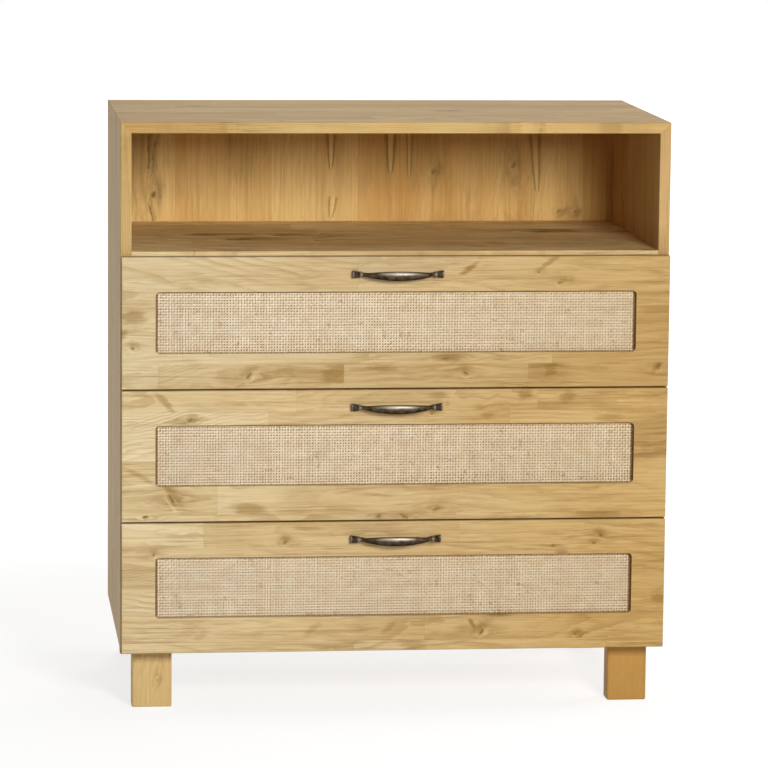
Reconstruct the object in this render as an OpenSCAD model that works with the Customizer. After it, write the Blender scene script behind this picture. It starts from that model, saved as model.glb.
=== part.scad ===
// Changing dresser in solid pine: a flat top over an open shelf, and three full-width
// drawers whose fronts carry a woven cane panel and a bow pull.
// Millimetres. +Z is up, +X runs to the viewer's right, the drawer fronts face -Y,
// and the origin is the middle of the footprint, on the floor.

/* [Body] */
// Width over the two sides
body_width = 900; // [860:10:1000]
// Height from the floor to the top
body_height = 970; // [960:5:1000]
// Depth of the two sides, from front edge to back edge
carcass_depth = 481; // [475:1:560]
// Thickness of the top, sides, shelf, bottom and drawer fronts
board = 18; // [17:0.5:20]
// Height of the shelf's upper face over the floor
shelf_top = 760; // [750:1:775]
// Thickness of the back panel
back_thickness = 12; // [9:1:14]
// How far the back panel reaches into each board round it
back_lap = 9; // [7:1:10]
// Width of the small chamfer along the edges
ease = 1.2; // [0.6:0.2:2]

/* [Legs] */
// Height of the legs
leg_height = 100; // [80:5:110]
// Width of a leg, seen from the front
leg_width = 66; // [50:1:80]
// Depth of a leg, two boards glued face to face
leg_depth = 36; // [32:1:60]
// Distance from the outer face of the side to the leg
leg_inset = 20; // [10:1:60]
// Distance from the front edge of the side to the front leg
leg_setback = 28; // [10:1:60]
// Radius of a leg's upright edges
leg_rounding = 4; // [2:0.5:8]

/* [Drawer fronts] */
// Gap between one drawer front and the next
front_gap = 2; // [1.5:0.5:4]
// How much of the shelf's front edge shows over the top drawer
shelf_reveal = 6.5; // [4:0.5:10]
// Air between the back of a drawer front and the carcass
front_clearance = 1; // [0.8:0.1:2]
// How far a drawer front stops short of the outer face of the side
side_reveal = 1; // [0:0.5:3]
// Width of the wood at each end of the window
window_stile = 55; // [45:1:90]
// Height of the wood over the window
window_top_rail = 57.5; // [54:0.5:62]
// Height of the window
window_height = 101; // [92:1:104]
// Radius of the window's corners
window_radius = 7; // [4:0.5:12]
// How far the cane lies behind the face of the front
window_recess = 9; // [7:0.5:10]
// How far the cane reaches under the wood round the window
cane_margin = 8; // [6:0.5:9]
// Thickness of the woven cane
cane_thickness = 3; // [2:0.5:4]

/* [Pulls] */
// Length of a pull over its feet
pull_length = 150; // [148:1:156]
// Distance between the two screws of a pull
pull_centres = 128; // [126:1:130]
// How far a pull stands out from the drawer front
pull_reach = 27; // [24:0.5:32]
// Height of the bow at its middle
bow_height = 15.6; // [12:0.2:18]
// Height of a foot at its outer end
foot_height = 12.6; // [11:0.2:14]
// Height of the neck between foot and bow
neck_height = 5.2; // [5:0.2:7]
// Height of the pull's axis over the lower edge of its front
pull_rise = 187.7; // [186:0.1:189]

/* [Drawer boxes] */
// Thickness of the sides, inner front and back of a drawer box
box_board = 12; // [11:0.5:13]
// Depth of a drawer box
box_depth = 440; // [420:5:450]
// Height of a drawer box
box_height = 156; // [150:1:156]
// Height of a box's lower edge over the lower edge of its front
box_lift = 26; // [24:1:28]
// Thickness of a drawer's bottom panel
bottom_panel = 6; // [4:1:6]
// How far the bottom panel reaches into its grooves
groove_depth = 6; // [4:0.5:7]
// Height of the grooves over the lower edge of the box
groove_rise = 8; // [7:1:9]

/* [Slides] */
// Length of a slide, closed
slide_length = 400; // [350:50:400]
// Space that a slide takes between side and drawer box
slide_space = 13; // [12.8:0.1:13.4]
// Height of a slide's cabinet rail
slide_height = 45.6; // [44:0.2:48]
// Thickness of the steel strip of the rails
strip = 1.2; // [1:0.1:1.4]
// Height of a slide's middle line over the lower edge of the box
slide_rise = 54; // [50:1:60]

/* [Hidden] */
DRAWERS = [1, 2, 3];
DRAWER_PIECES = [
    "front", "cane_panel", "cane_backing", "pull", "pull_screws",
    "box_left", "box_right", "box_front", "box_back", "box_bottom", "box_screws",
    "left_rail", "right_rail", "middle_rails"
];
$fn = 48;

pine = "#cfa86c";
pale_pine = "#e0c795";
plywood = "#d9be90";
cane = "#dcc5a0";
bronze = "#3b2d22";
zinc = "#b9bdc1";
beech = "#c89a62";

// planes from front to back
total_depth = pull_reach + board + front_clearance + carcass_depth;
face_y = -total_depth / 2 + pull_reach;
front_back_y = face_y + board;
carcass_y = front_back_y + front_clearance;
back_y = total_depth / 2;
panel_y = back_y - back_thickness;

// planes across and upwards
half_width = body_width / 2;
inner_half = half_width - board;
top_inner = body_height - board;
bottom_inner = leg_height + board;
lap_half = inner_half + back_lap;
lap_top = top_inner + back_lap;
lap_bottom = bottom_inner - back_lap;
panel_play = 0.5;
through = 1;

// drawer fronts and their windows
front_height = (shelf_top - shelf_reveal - leg_height - 2 * front_gap) / 3;
front_half = half_width - side_reveal;
window_half = front_half - window_stile;
window_bottom = front_height - window_top_rail - window_height;
cane_y = face_y + window_recess;
backing_y = cane_y + cane_thickness;
cane_play = 0.4;

// drawer boxes
box_half = inner_half - slide_space;
box_inner_half = box_half - box_board;
box_back_y = front_back_y + box_depth;
slide_front_y = carcass_y + 2;

// fasteners
hole_play = 0.1;
dowel_r = 4;
dowel_in_side = 12;
dowel_in_board = 24;
mitre_dowel_r = 3;
mitre_dowel_length = 16;
mitre_dowel_place = 7;
bolt_r = 3;
bolt_head_r = 6;
bolt_head = 4;
bolt_length = 50;
screw_r = 1.9;
screw_head_r = 3.6;
screw_head = 1.6;
panel_screw_length = 30;
box_screw_length = 35;
front_screw_length = 24;
rail_screw_length = 10;
rail_screw_head = 1.2;
pull_screw_r = 2;
pull_screw_head_r = 3.6;
pull_screw_head = 2;
pull_screw_grip = 9;

// cross sections of the rails, as distances from the side board and from mid height
lip_out = 9.6;
lip_depth = 4.4;
middle_web = 3;
middle_out = 11;
middle_half = 17.5;
middle_lip = 4.2;
drawer_rail_half = 12.4;
drawer_rail_depth = 7.2;
stop_tab_half = 8;
stop_tab = 3;

// places of repeated things
dowel_ys = [for (t = [0.12, 0.5, 0.88]) carcass_y + t * (panel_y - carcass_y)];
leg_bolt_xs = [-leg_width / 4, leg_width / 4];
rail_screw_ys = [for (t = [0.09, 0.55, 0.9]) slide_front_y + t * slide_length];
front_screw_xs = [-box_inner_half + 47, 0, box_inner_half - 47];
box_screw_zs = [24, 95, 138];
front_screw_zs = [groove_rise + bottom_panel + 5, box_height - 7.5];
sides = [-1, 1];

function front_base(n) = leg_height + (3 - n) * (front_height + front_gap);
function box_base(n) = front_base(n) + box_lift;
function slide_z(n) = box_base(n) + slide_rise;

// round the back panel: along its top, its bottom, its two sides and the shelf
function evenly(low, high, count) = [for (i = [0:count - 1]) low + (high - low) * i / (count - 1)];
back_screw_half = inner_half + back_lap / 2;
back_screw_spots = concat(
    [for (x = evenly(-back_screw_half + 40, back_screw_half - 40, 6)) [x, top_inner + back_lap / 2]],
    [for (x = evenly(-back_screw_half + 40, back_screw_half - 40, 6)) [x, bottom_inner - back_lap / 2]],
    [for (s = sides) for (z = evenly(bottom_inner + 40, top_inner - 40, 6)) [s * back_screw_half, z]],
    [for (x = evenly(-inner_half + 90, inner_half - 90, 4)) [x, shelf_top - board / 2]]
);

// a rectangle with its four corners cut off at 45 degrees
module clipped_rect(w, h, e) {
    polygon([[e, 0], [w - e, 0], [w, e], [w, h - e], [w - e, h], [e, h], [0, h - e], [0, e]]);
}

// a rectangle round its middle with rounded corners
module rounded_rect(w, h, r) {
    square([w - 2 * r, h], center = true);
    square([w, h - 2 * r], center = true);
    for (x = sides, y = sides)
        translate([x * (w / 2 - r), y * (h / 2 - r)])
            circle(r);
}

// a board from its lowest corner, with all twelve edges eased
module eased_board(size, e = ease) {
    intersection() {
        linear_extrude(size.z)
            clipped_rect(size.x, size.y, e);
        translate([0, size.y, 0])
            rotate([90, 0, 0])
                linear_extrude(size.y)
                    clipped_rect(size.x, size.z, e);
        rotate([90, 0, 90])
            linear_extrude(size.x)
                clipped_rect(size.y, size.z, e);
    }
}

// long square bars set on edge, which cut a chamfer along X, Y or Z
module ease_x(y, z, e = ease) {
    translate([0, y, z])
        rotate([45, 0, 0])
            cube([2 * body_width, e * sqrt(2), e * sqrt(2)], center = true);
}

module ease_y(x, z, e = ease) {
    translate([x, 0, z])
        rotate([0, 45, 0])
            cube([e * sqrt(2), 2 * body_width, e * sqrt(2)], center = true);
}

module ease_z(x, y, e = ease) {
    translate([x, y, 0])
        rotate([0, 0, 45])
            cube([e * sqrt(2), e * sqrt(2), 4 * body_height], center = true);
}

// a flat-headed screw that points along -Z, with the seat of its head at the origin
module screw(length, r = screw_r, head_r = screw_head_r, head = screw_head) {
    point = 2 * r;
    cylinder(r = head_r, h = head);
    translate([0, 0, -length + point])
        cylinder(r = r, h = length - point);
    translate([0, 0, -length])
        cylinder(r1 = 0.4, r2 = r, h = point);
}

// the hole that such a screw needs, with room for its head
module screw_hole(length, r = screw_r, head_r = screw_head_r, head = screw_head) {
    cylinder(r = head_r + 2 * hole_play, h = head + through);
    translate([0, 0, -length - hole_play])
        cylinder(r = r + hole_play, h = length + hole_play + through);
}

// turns what points along -Z to point along the given direction
module pointing_front() {
    rotate([-90, 0, 0])
        children();
}

module pointing_side(s) {
    rotate([0, -90 * s, 0])
        children();
}

// the pocket at the back of the carcass that takes the back panel
module back_recess() {
    translate([-lap_half, panel_y, lap_bottom])
        cube([2 * lap_half, back_thickness + through, lap_top - lap_bottom]);
}

// Carcass fasteners, each drawn where it sits

// dowels between the sides and a board, or the holes that they need
module board_dowels(z, play = 0) {
    for (s = sides, y = dowel_ys)
        translate([s * inner_half, y, z])
            rotate([0, 90, 0])
                translate([0, 0, s > 0 ? -dowel_in_board : -dowel_in_side])
                    cylinder(r = dowel_r + play, h = dowel_in_board + dowel_in_side);
}

// short dowels square across the two mitres, or the holes that they need
module mitre_dowels(play = 0) {
    for (s = sides, y = dowel_ys)
        translate([s * (inner_half + mitre_dowel_place), y, top_inner + mitre_dowel_place])
            rotate([0, s * 135, 0])
                cylinder(r = mitre_dowel_r + play, h = mitre_dowel_length, center = true);
}

module at_leg_bolts() {
    for (x = sides, y = leg_middles)
        for (dx = leg_bolt_xs)
            translate([x * leg_middle_x + dx, y, bottom_inner - bolt_head])
                children();
}

module at_back_screws() {
    for (spot = back_screw_spots)
        translate([spot.x, back_y - screw_head, spot.y])
            pointing_front()
                children();
}

module at_cabinet_rail_screws(s) {
    for (n = DRAWERS, y = rail_screw_ys)
        translate([s * (inner_half - strip), y, slide_z(n)])
            pointing_side(s)
                children();
}

// Carcass

module carcass_board_cuts() {
    board_dowels(shelf_top - board / 2, hole_play);
    board_dowels(leg_height + board / 2, hole_play);
    mitre_dowels(hole_play);
    back_recess();
    at_back_screws()
        screw_hole(panel_screw_length);
}

module top_board() {
    color(pine)
        difference() {
            translate([0, back_y, 0])
                rotate([90, 0, 0])
                    linear_extrude(carcass_depth)
                        polygon([
                            [-half_width, body_height],
                            [-inner_half, top_inner],
                            [inner_half, top_inner],
                            [half_width, body_height]
                        ]);
            carcass_board_cuts();
            ease_x(carcass_y, body_height);
            ease_x(carcass_y, top_inner, ease / 2);
            ease_x(back_y, body_height);
            for (s = sides)
                ease_y(s * half_width, body_height);
        }
}

// the left side, or with s = 1 the right one
module side_board(s) {
    color(pine)
        difference() {
            translate([0, back_y, 0])
                rotate([90, 0, 0])
                    linear_extrude(carcass_depth)
                        polygon([
                            [s * half_width, leg_height],
                            [s * inner_half, leg_height],
                            [s * inner_half, top_inner],
                            [s * half_width, body_height]
                        ]);
            carcass_board_cuts();
            at_cabinet_rail_screws(s)
                screw_hole(rail_screw_length);
            ease_z(s * half_width, carcass_y);
            ease_z(s * inner_half, carcass_y, ease / 2);
            ease_z(s * half_width, back_y);
            ease_y(s * half_width, body_height);
            ease_y(s * half_width, leg_height);
        }
}

module left_side() {
    side_board(-1);
}

module right_side() {
    side_board(1);
}

module shelf() {
    color(pine)
        difference() {
            translate([-inner_half, carcass_y, shelf_top - board])
                cube([2 * inner_half, panel_y - carcass_y, board]);
            carcass_board_cuts();
            ease_x(carcass_y, shelf_top, ease / 2);
            ease_x(carcass_y, shelf_top - board, ease / 2);
        }
}

module bottom_board() {
    color(pine)
        difference() {
            translate([-inner_half, carcass_y, leg_height])
                cube([2 * inner_half, carcass_depth, board]);
            carcass_board_cuts();
            at_leg_bolts()
                screw_hole(bolt_length, bolt_r, bolt_head_r, bolt_head);
            ease_x(carcass_y, leg_height);
        }
}

module back_panel() {
    color(pale_pine)
        difference() {
            translate([-lap_half + panel_play, panel_y, lap_bottom + panel_play])
                cube([
                    2 * (lap_half - panel_play),
                    back_thickness,
                    lap_top - lap_bottom - 2 * panel_play
                ]);
            at_back_screws()
                screw_hole(panel_screw_length);
        }
}

// Legs

leg_middle_x = half_width - leg_inset - leg_width / 2;
leg_middles = [carcass_y + leg_setback + leg_depth / 2, back_y - leg_depth / 2];
foot_ease = 2;

module leg(s, y) {
    color(pine)
        difference() {
            translate([s * leg_middle_x, y, 0])
                intersection() {
                    linear_extrude(leg_height)
                        rounded_rect(leg_width, leg_depth, leg_rounding);
                    translate([-leg_width / 2, leg_depth / 2, 0])
                        rotate([90, 0, 0])
                            linear_extrude(leg_depth)
                                clipped_rect(leg_width, 2 * leg_height, foot_ease);
                    translate([-leg_width / 2, -leg_depth / 2, 0])
                        rotate([90, 0, 90])
                            linear_extrude(leg_width)
                                clipped_rect(leg_depth, 2 * leg_height, foot_ease);
                }
            at_leg_bolts()
                screw_hole(bolt_length, bolt_r, bolt_head_r, bolt_head);
        }
}

module front_left_leg() {
    leg(-1, leg_middles[0]);
}

module front_right_leg() {
    leg(1, leg_middles[0]);
}

module back_left_leg() {
    leg(-1, leg_middles[1]);
}

module back_right_leg() {
    leg(1, leg_middles[1]);
}

// Carcass hardware

module leg_bolts() {
    color(zinc)
        at_leg_bolts()
            screw(bolt_length, bolt_r, bolt_head_r, bolt_head);
}

module carcass_dowels() {
    color(beech) {
        board_dowels(shelf_top - board / 2);
        board_dowels(leg_height + board / 2);
        mitre_dowels();
    }
}

module back_panel_screws() {
    color(zinc)
        at_back_screws()
            screw(panel_screw_length);
}

module cabinet_rail_screws() {
    color(zinc)
        for (s = sides)
            at_cabinet_rail_screws(s)
                screw(rail_screw_length, head = rail_screw_head);
}

// Slides. A profile is drawn with x as the distance from the side board and y as the
// height over the slide's middle line, and runs back from the front end of the slide.

module place_slide(s, n, length = slide_length) {
    translate([s * inner_half, slide_front_y + length, slide_z(n)])
        mirror([s > 0 ? 1 : 0, 0, 0])
            rotate([90, 0, 0])
                linear_extrude(length)
                    children();
}

module channel(near, far, half, lip) {
    difference() {
        translate([near, -half])
            square([far - near, 2 * half]);
        translate([near + strip, -half + strip])
            square([far - near - 2 * strip, 2 * (half - strip)]);
        translate([near + strip, -half + lip])
            square([far - near, 2 * (half - lip)]);
    }
}

module cabinet_rail(s, n) {
    half = slide_height / 2;
    place_slide(s, n)
        channel(0, lip_out, half, lip_depth);
    translate([0, slide_length, 0])
        place_slide(s, n, stop_tab)
            translate([0, -half])
                square([strip, slide_height]);
    translate([s * inner_half, slide_front_y + slide_length + stop_tab - strip, slide_z(n)])
        mirror([s > 0 ? 1 : 0, 0, 0])
            translate([0, 0, -stop_tab_half])
                cube([lip_out, strip, 2 * stop_tab_half]);
}

module cabinet_rails(s) {
    color(zinc)
        difference() {
            for (n = DRAWERS)
                cabinet_rail(s, n);
            at_cabinet_rail_screws(s)
                screw_hole(rail_screw_length);
        }
}

module left_cabinet_rails() {
    cabinet_rails(-1);
}

module right_cabinet_rails() {
    cabinet_rails(1);
}

module drawer_middle_rails(n) {
    color(zinc)
        for (s = sides)
            place_slide(s, n)
                channel(middle_web, middle_out, middle_half, middle_lip);
}

module at_drawer_rail_screws(s, n) {
    for (y = rail_screw_ys)
        translate([s * (box_half + strip), y, slide_z(n)])
            pointing_side(-s)
                children();
}

module drawer_rail(s, n) {
    color(zinc)
        difference() {
            place_slide(s, n)
                translate([slide_space, 0])
                    mirror([1, 0])
                        difference() {
                            translate([0, -drawer_rail_half])
                                square([drawer_rail_depth, 2 * drawer_rail_half]);
                            translate([strip, -drawer_rail_half + strip])
                                square([drawer_rail_depth, 2 * (drawer_rail_half - strip)]);
                        }
            at_drawer_rail_screws(s, n)
                screw_hole(rail_screw_length);
        }
}

module drawer_left_rail(n) {
    drawer_rail(-1, n);
}

module drawer_right_rail(n) {
    drawer_rail(1, n);
}

// Drawer fronts

module at_pull_screws(n) {
    for (s = sides)
        translate([s * pull_centres / 2, front_back_y, front_base(n) + pull_rise])
            pointing_front()
                children();
}

module at_front_screws(n) {
    for (x = front_screw_xs, z = front_screw_zs)
        translate([x, front_back_y + box_board - screw_head, box_base(n) + z])
            pointing_front()
                children();
}

// a rounded plate behind the window: across, upwards, and from one plane to another
module window_plate(n, grow, r, from_y, to_y) {
    translate([0, to_y, front_base(n) + window_bottom + window_height / 2])
        rotate([90, 0, 0])
            linear_extrude(to_y - from_y)
                rounded_rect(2 * (window_half + grow), window_height + 2 * grow, r);
}

module drawer_front(n) {
    color(pale_pine)
        difference() {
            translate([-front_half, face_y, front_base(n)])
                eased_board([2 * front_half, board, front_height]);
            window_plate(n, 0, window_radius, face_y - through, front_back_y + through);
            window_plate(n, cane_margin, cane_margin, cane_y, front_back_y + through);
            at_pull_screws(n)
                screw_hole(board + through, pull_screw_r, pull_screw_head_r, 0);
            at_front_screws(n)
                screw_hole(front_screw_length);
        }
}

module drawer_cane_panel(n) {
    grow = cane_margin - cane_play;
    color(cane)
        window_plate(n, grow, grow, cane_y, backing_y);
}

module drawer_cane_backing(n) {
    grow = cane_margin - cane_play;
    color(plywood)
        window_plate(n, grow, grow, backing_y, front_back_y);
}

// Pulls. A section of the pull is cut square to its length. Along the pull, s is the
// distance from its middle. The bow rises in an arc between two necks, and a foot
// flares from each neck to the outer end, with a bead round its root.

foot_root = 57.5;
bead_place = 60.5;
bead_width = 1.6;
bead_swell = 0.9;
bow_thickness = 7.6;
neck_reach = 15.5;
foot_reach = 9.5;
foot_flare = 0.6;
end_rounding = 1.5;
end_drop = 1.4;
end_height = 0.86;
closing_start = 46;
closing_depth = 16;
section_sides = 20;
bow_end = 52;
bow_steps = 9;
foot_steps = 20;

function smooth(t) = t <= 0 ? 0 : t >= 1 ? 1 : t * t * (3 - 2 * t);
function bow_share(s) = pow(cos(90 * min(1, s / foot_root)), 0.9);
function foot_share(s) = min(1, max(0, (s - foot_root) / (pull_length / 2 - foot_root)));
function bead(s) = bead_swell * exp(-pow((s - bead_place) / bead_width, 2));
function end_round(s) =
    sqrt(max(0, 1 - pow(max(0, s - pull_length / 2 + end_rounding) / end_rounding, 2)));

function closing(s) = pow(max(0, s - closing_start) / (foot_root - closing_start), 3);

// half the height of a section, and how far its outer and inner faces stand out
function half_height(s) = s < foot_root
    ? (neck_height + (bow_height - neck_height) * bow_share(s)) / 2 + bead(s)
    : (neck_height + (foot_height - neck_height) * pow(foot_share(s), foot_flare)) / 2
        * (end_height + (1 - end_height) * end_round(s))
        + bead(s) * (1 - foot_share(s));
function outer_reach(s) = s < foot_root
    ? neck_reach + (pull_reach - neck_reach) * (1 - pow(s / foot_root, 2)) + bead(s) * 0.6
    : neck_reach - (neck_reach - foot_reach) * smooth(foot_share(s)) + bead(s) * 0.6
        - end_drop * (1 - end_round(s));
function inner_reach(s) = s < foot_root
    ? max(0, outer_reach(s) - bow_thickness - closing_depth * closing(s))
    : 0;

// the stations crowd together where the foot and its bead are
half_stations = concat(
    [for (i = [0:bow_steps - 1]) bow_end * i / bow_steps],
    [for (i = [0:foot_steps])
        bow_end + (pull_length / 2 - bow_end) * (1 - pow(1 - i / foot_steps, 1.4))]
);
stations = concat([for (i = [len(half_stations) - 1:-1:1]) -half_stations[i]], half_stations);

// one section: an oval on the bow, and a rounded block flat on the front at the feet
function section(x) =
    let(
        s = abs(x),
        high = outer_reach(s),
        low = inner_reach(s),
        foot = smooth((s - 50) / (foot_root - 50)),
        middle = (high + low) / 2 * (1 - foot) + high * 0.45 * foot,
        up = high - middle,
        down = (middle - low) * (1 - foot) + middle * 1.6 * foot,
        power = 2 / (2.2 + 1.2 * foot)
    )
    [for (k = [0:section_sides - 1])
        let(a = 360 * k / section_sides, c = cos(a), q = sin(a))
        [
            x,
            -max(0, middle + (q > 0 ? up : down) * sign(q) * pow(abs(q), power)),
            half_height(s) * sign(c) * pow(abs(c), power)
        ]];

module pull_body() {
    rings = [for (x = stations) section(x)];
    last = len(stations) - 1;
    polyhedron(
        points = [for (ring = rings) each ring],
        faces = concat(
            [[for (k = [section_sides - 1:-1:0]) k]],
            [[for (k = [0:section_sides - 1]) last * section_sides + k]],
            [for (i = [0:last - 1]) for (k = [0:section_sides - 1])
                let(a = i * section_sides, b = a + section_sides, m = (k + 1) % section_sides)
                each [[a + k, a + m, b + m], [a + k, b + m, b + k]]]
        )
    );
}

module drawer_pull(n) {
    color(bronze)
        difference() {
            translate([0, face_y, front_base(n) + pull_rise])
                pull_body();
            at_pull_screws(n)
                screw_hole(board + pull_screw_grip, pull_screw_r, pull_screw_head_r, 0);
        }
}

module drawer_pull_screws(n) {
    color(zinc)
        at_pull_screws(n)
            screw(board + pull_screw_grip, pull_screw_r, pull_screw_head_r, pull_screw_head);
}

// Drawer boxes

module at_box_screws(s, n) {
    for (y = [front_back_y + box_board / 2, box_back_y - box_board / 2], z = box_screw_zs)
        translate([s * (box_half - screw_head), y, box_base(n) + z])
            pointing_side(-s)
                children();
}

module bottom_space(n, play) {
    inset = groove_depth - play;
    translate([
        -box_inner_half - inset,
        front_back_y + box_board - inset,
        box_base(n) + groove_rise
    ])
        cube([
            2 * (box_inner_half + inset),
            box_depth - 2 * box_board + 2 * inset,
            bottom_panel
        ]);
}

module box_side(s, n) {
    color(pale_pine)
        difference() {
            translate([s > 0 ? box_inner_half : -box_half, front_back_y, box_base(n)])
                cube([box_board, box_depth, box_height]);
            bottom_space(n, 0);
            at_box_screws(s, n)
                screw_hole(box_screw_length);
            at_drawer_rail_screws(s, n)
                screw_hole(rail_screw_length);
            for (x = [box_half, box_inner_half])
                ease_y(s * x, box_base(n) + box_height);
        }
}

module drawer_box_left(n) {
    box_side(-1, n);
}

module drawer_box_right(n) {
    box_side(1, n);
}

// the inner front or the back, between the two sides, with its front face at y
module box_end(n, y) {
    translate([-box_inner_half, y, box_base(n)])
        cube([2 * box_inner_half, box_board, box_height]);
}

module drawer_box_front(n) {
    color(pale_pine)
        difference() {
            box_end(n, front_back_y);
            bottom_space(n, 0);
            for (s = sides)
                at_box_screws(s, n)
                    screw_hole(box_screw_length);
            at_front_screws(n)
                screw_hole(front_screw_length);
            ease_x(front_back_y + box_board, box_base(n) + box_height);
        }
}

module drawer_box_back(n) {
    color(pale_pine)
        difference() {
            box_end(n, box_back_y - box_board);
            bottom_space(n, 0);
            for (s = sides)
                at_box_screws(s, n)
                    screw_hole(box_screw_length);
            for (y = [box_back_y - box_board, box_back_y])
                ease_x(y, box_base(n) + box_height);
        }
}

module drawer_box_bottom(n) {
    color(plywood)
        bottom_space(n, panel_play);
}

module drawer_box_screws(n) {
    color(zinc) {
        for (s = sides) {
            at_box_screws(s, n)
                screw(box_screw_length);
            at_drawer_rail_screws(s, n)
                screw(rail_screw_length, head = rail_screw_head);
        }
        at_front_screws(n)
            screw(front_screw_length);
    }
}

top_board();
left_side();
right_side();
shelf();
bottom_board();
back_panel();
front_left_leg();
front_right_leg();
back_left_leg();
back_right_leg();
leg_bolts();
carcass_dowels();
back_panel_screws();
left_cabinet_rails();
right_cabinet_rails();
cabinet_rail_screws();
for (n = DRAWERS) {
    drawer_front(n);
    drawer_cane_panel(n);
    drawer_cane_backing(n);
    drawer_pull(n);
    drawer_pull_screws(n);
    drawer_box_left(n);
    drawer_box_right(n);
    drawer_box_front(n);
    drawer_box_back(n);
    drawer_box_bottom(n);
    drawer_box_screws(n);
    drawer_left_rail(n);
    drawer_right_rail(n);
    drawer_middle_rails(n);
}
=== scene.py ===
import math
import random
from dataclasses import dataclass, replace

import bmesh
import bpy
from mathutils import Matrix, Vector


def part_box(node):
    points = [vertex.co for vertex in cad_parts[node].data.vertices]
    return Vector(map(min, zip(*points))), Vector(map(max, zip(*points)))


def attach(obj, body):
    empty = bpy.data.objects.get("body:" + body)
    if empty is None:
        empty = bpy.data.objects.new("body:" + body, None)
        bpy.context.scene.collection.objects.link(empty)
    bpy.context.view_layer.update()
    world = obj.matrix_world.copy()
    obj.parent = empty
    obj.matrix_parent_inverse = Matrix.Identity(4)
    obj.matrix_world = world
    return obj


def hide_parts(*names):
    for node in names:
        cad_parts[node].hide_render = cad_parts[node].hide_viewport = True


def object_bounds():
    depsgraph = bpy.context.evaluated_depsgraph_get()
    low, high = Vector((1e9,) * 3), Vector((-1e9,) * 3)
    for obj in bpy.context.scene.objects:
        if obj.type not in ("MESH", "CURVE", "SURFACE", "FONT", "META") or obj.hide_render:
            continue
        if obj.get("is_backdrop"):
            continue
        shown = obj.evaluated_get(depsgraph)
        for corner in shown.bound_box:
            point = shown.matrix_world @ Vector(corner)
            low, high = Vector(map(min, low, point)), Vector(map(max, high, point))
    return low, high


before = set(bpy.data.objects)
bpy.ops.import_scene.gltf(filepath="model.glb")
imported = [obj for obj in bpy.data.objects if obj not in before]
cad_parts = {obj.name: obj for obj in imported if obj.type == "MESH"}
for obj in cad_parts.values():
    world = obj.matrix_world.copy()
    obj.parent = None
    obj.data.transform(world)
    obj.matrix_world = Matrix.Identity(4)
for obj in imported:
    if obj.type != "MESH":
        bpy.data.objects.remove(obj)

bl_info = {
    "name": "Changing dresser",
    "version": (1, 0, 0),
    "blender": (4, 5, 0),
    "location": "3D View > Sidebar > Dresser",
    "description": "Finishes a packed pine dresser in lacquered wood, woven cane and dark bronze",
    "category": "Object",
}

cad_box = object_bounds()
DRAWERS = (1, 2, 3)


def srgb(red, green, blue):
    """A colour written as 0 to 255, in the linear values that a shader takes."""
    return tuple(
        c / 12.92 if c <= 0.04045 else ((c + 0.055) / 1.055) ** 2.4
        for c in (red / 255, green / 255, blue / 255)
    )


def tint(name, description, default):
    return bpy.props.FloatVectorProperty(
        name=name, description=description, subtype="COLOR", min=0, max=1, default=default
    )


def colour(name, description, red, green, blue):
    return tint(name, description, srgb(red, green, blue))


def wood(part, shade, red, green, blue):
    """One of the two colours between which the staves of a part of the dresser lie."""
    return colour(f"{shade} {part}", f"The {shade.lower()} wood of the {part}", red, green, blue)


def quantity(name, description, default, **kind):
    return bpy.props.FloatProperty(name=name, description=description, default=default, min=0, **kind)


def length(name, description, default):
    return quantity(name, description, default, unit="LENGTH", precision=4)


def share(name, description, default):
    return quantity(name, description, default, max=1, subtype="FACTOR")


def power(name, description, default):
    return quantity(name, description, default, unit="POWER")


def angle(name, description, degrees):
    return bpy.props.FloatProperty(
        name=name, description=description, subtype="ANGLE", default=math.radians(degrees)
    )


# What a user would change

class PineSettings(bpy.types.PropertyGroup):
    """Lacquered pine"""
    pale: wood("drawer fronts", "Lightest", 230, 211, 170)
    honey: wood("drawer fronts", "Darkest", 206, 178, 127)
    line: colour("Growth lines", "Late wood of the rings", 160, 124, 72)
    olive: colour("Smudges", "Resin-rich wood, and the shaded wood beside a knot", 160, 128, 70)
    knot: colour("Knot", "The wood of a knot", 158, 122, 68)
    bark: colour("Knot heart", "The dark core of a knot", 100, 74, 38)
    # paler wood for flecks and spike tongues, and the painted highlight beside a knot
    pale_and_highlight: quantity("Gleam", "How much paler than the rest the wood beside a knot is", 1.16)
    # painted shade: what the right end of a board is tinted by, for the dresser's darker right side
    deep: tint("Deepening", "What the honey end of a drawer front is tinted by", (0.75, 0.62, 0.40))
    # also painted shade on the window's recess walls, which are end grain
    end_grain: colour("End grain", "Wood cut across, which drinks more lacquer", 128, 86, 42)
    ring: length("Ring spacing", "Mean distance between two growth rings", 0.0034)
    stave: length("Stave width", "Mean width of an edge-glued stave", 0.070)
    lamella: length("Lamella length", "Length of the pieces that a stave is jointed from", 0.52)
    body_pale: wood("top, left side and bottom", "Lightest", 216, 184, 122)
    body_honey: wood("top, left side and bottom", "Darkest", 192, 152, 86)
    right_pale: wood("right side", "Lightest", 212, 176, 120)
    right_honey: wood("right side", "Darkest", 188, 148, 90)
    # painted light: the left legs are paler, to make up for the shade under the body
    leg_pale: wood("left legs", "Lightest", 229, 199, 140)
    leg_honey: wood("left legs", "Darkest", 221, 187, 126)
    # painted shade: the right legs are darker, with the same left-to-right shade as the drawer fronts
    leg_amber: wood("right legs", "Lightest", 200, 156, 86)
    leg_brown: wood("right legs", "Darkest", 182, 136, 66)
    # painted light: the shelf is paler than the body's pine, to make up for the shade in the
    # compartment under the top
    shelf_pale: wood("shelf", "Lightest", 251, 229, 178)
    shelf_honey: wood("shelf", "Darkest", 225, 191, 132)
    # painted light: the back panel is paler than the body's pine, to make up for the shade in the
    # compartment
    back_pale: wood("back panel", "Lightest", 250, 217, 147)
    back_honey: wood("back panel", "Darkest", 220, 171, 94)
    roughness: share("Roughness", "Roughness of the lacquer", 0.46)


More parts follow.
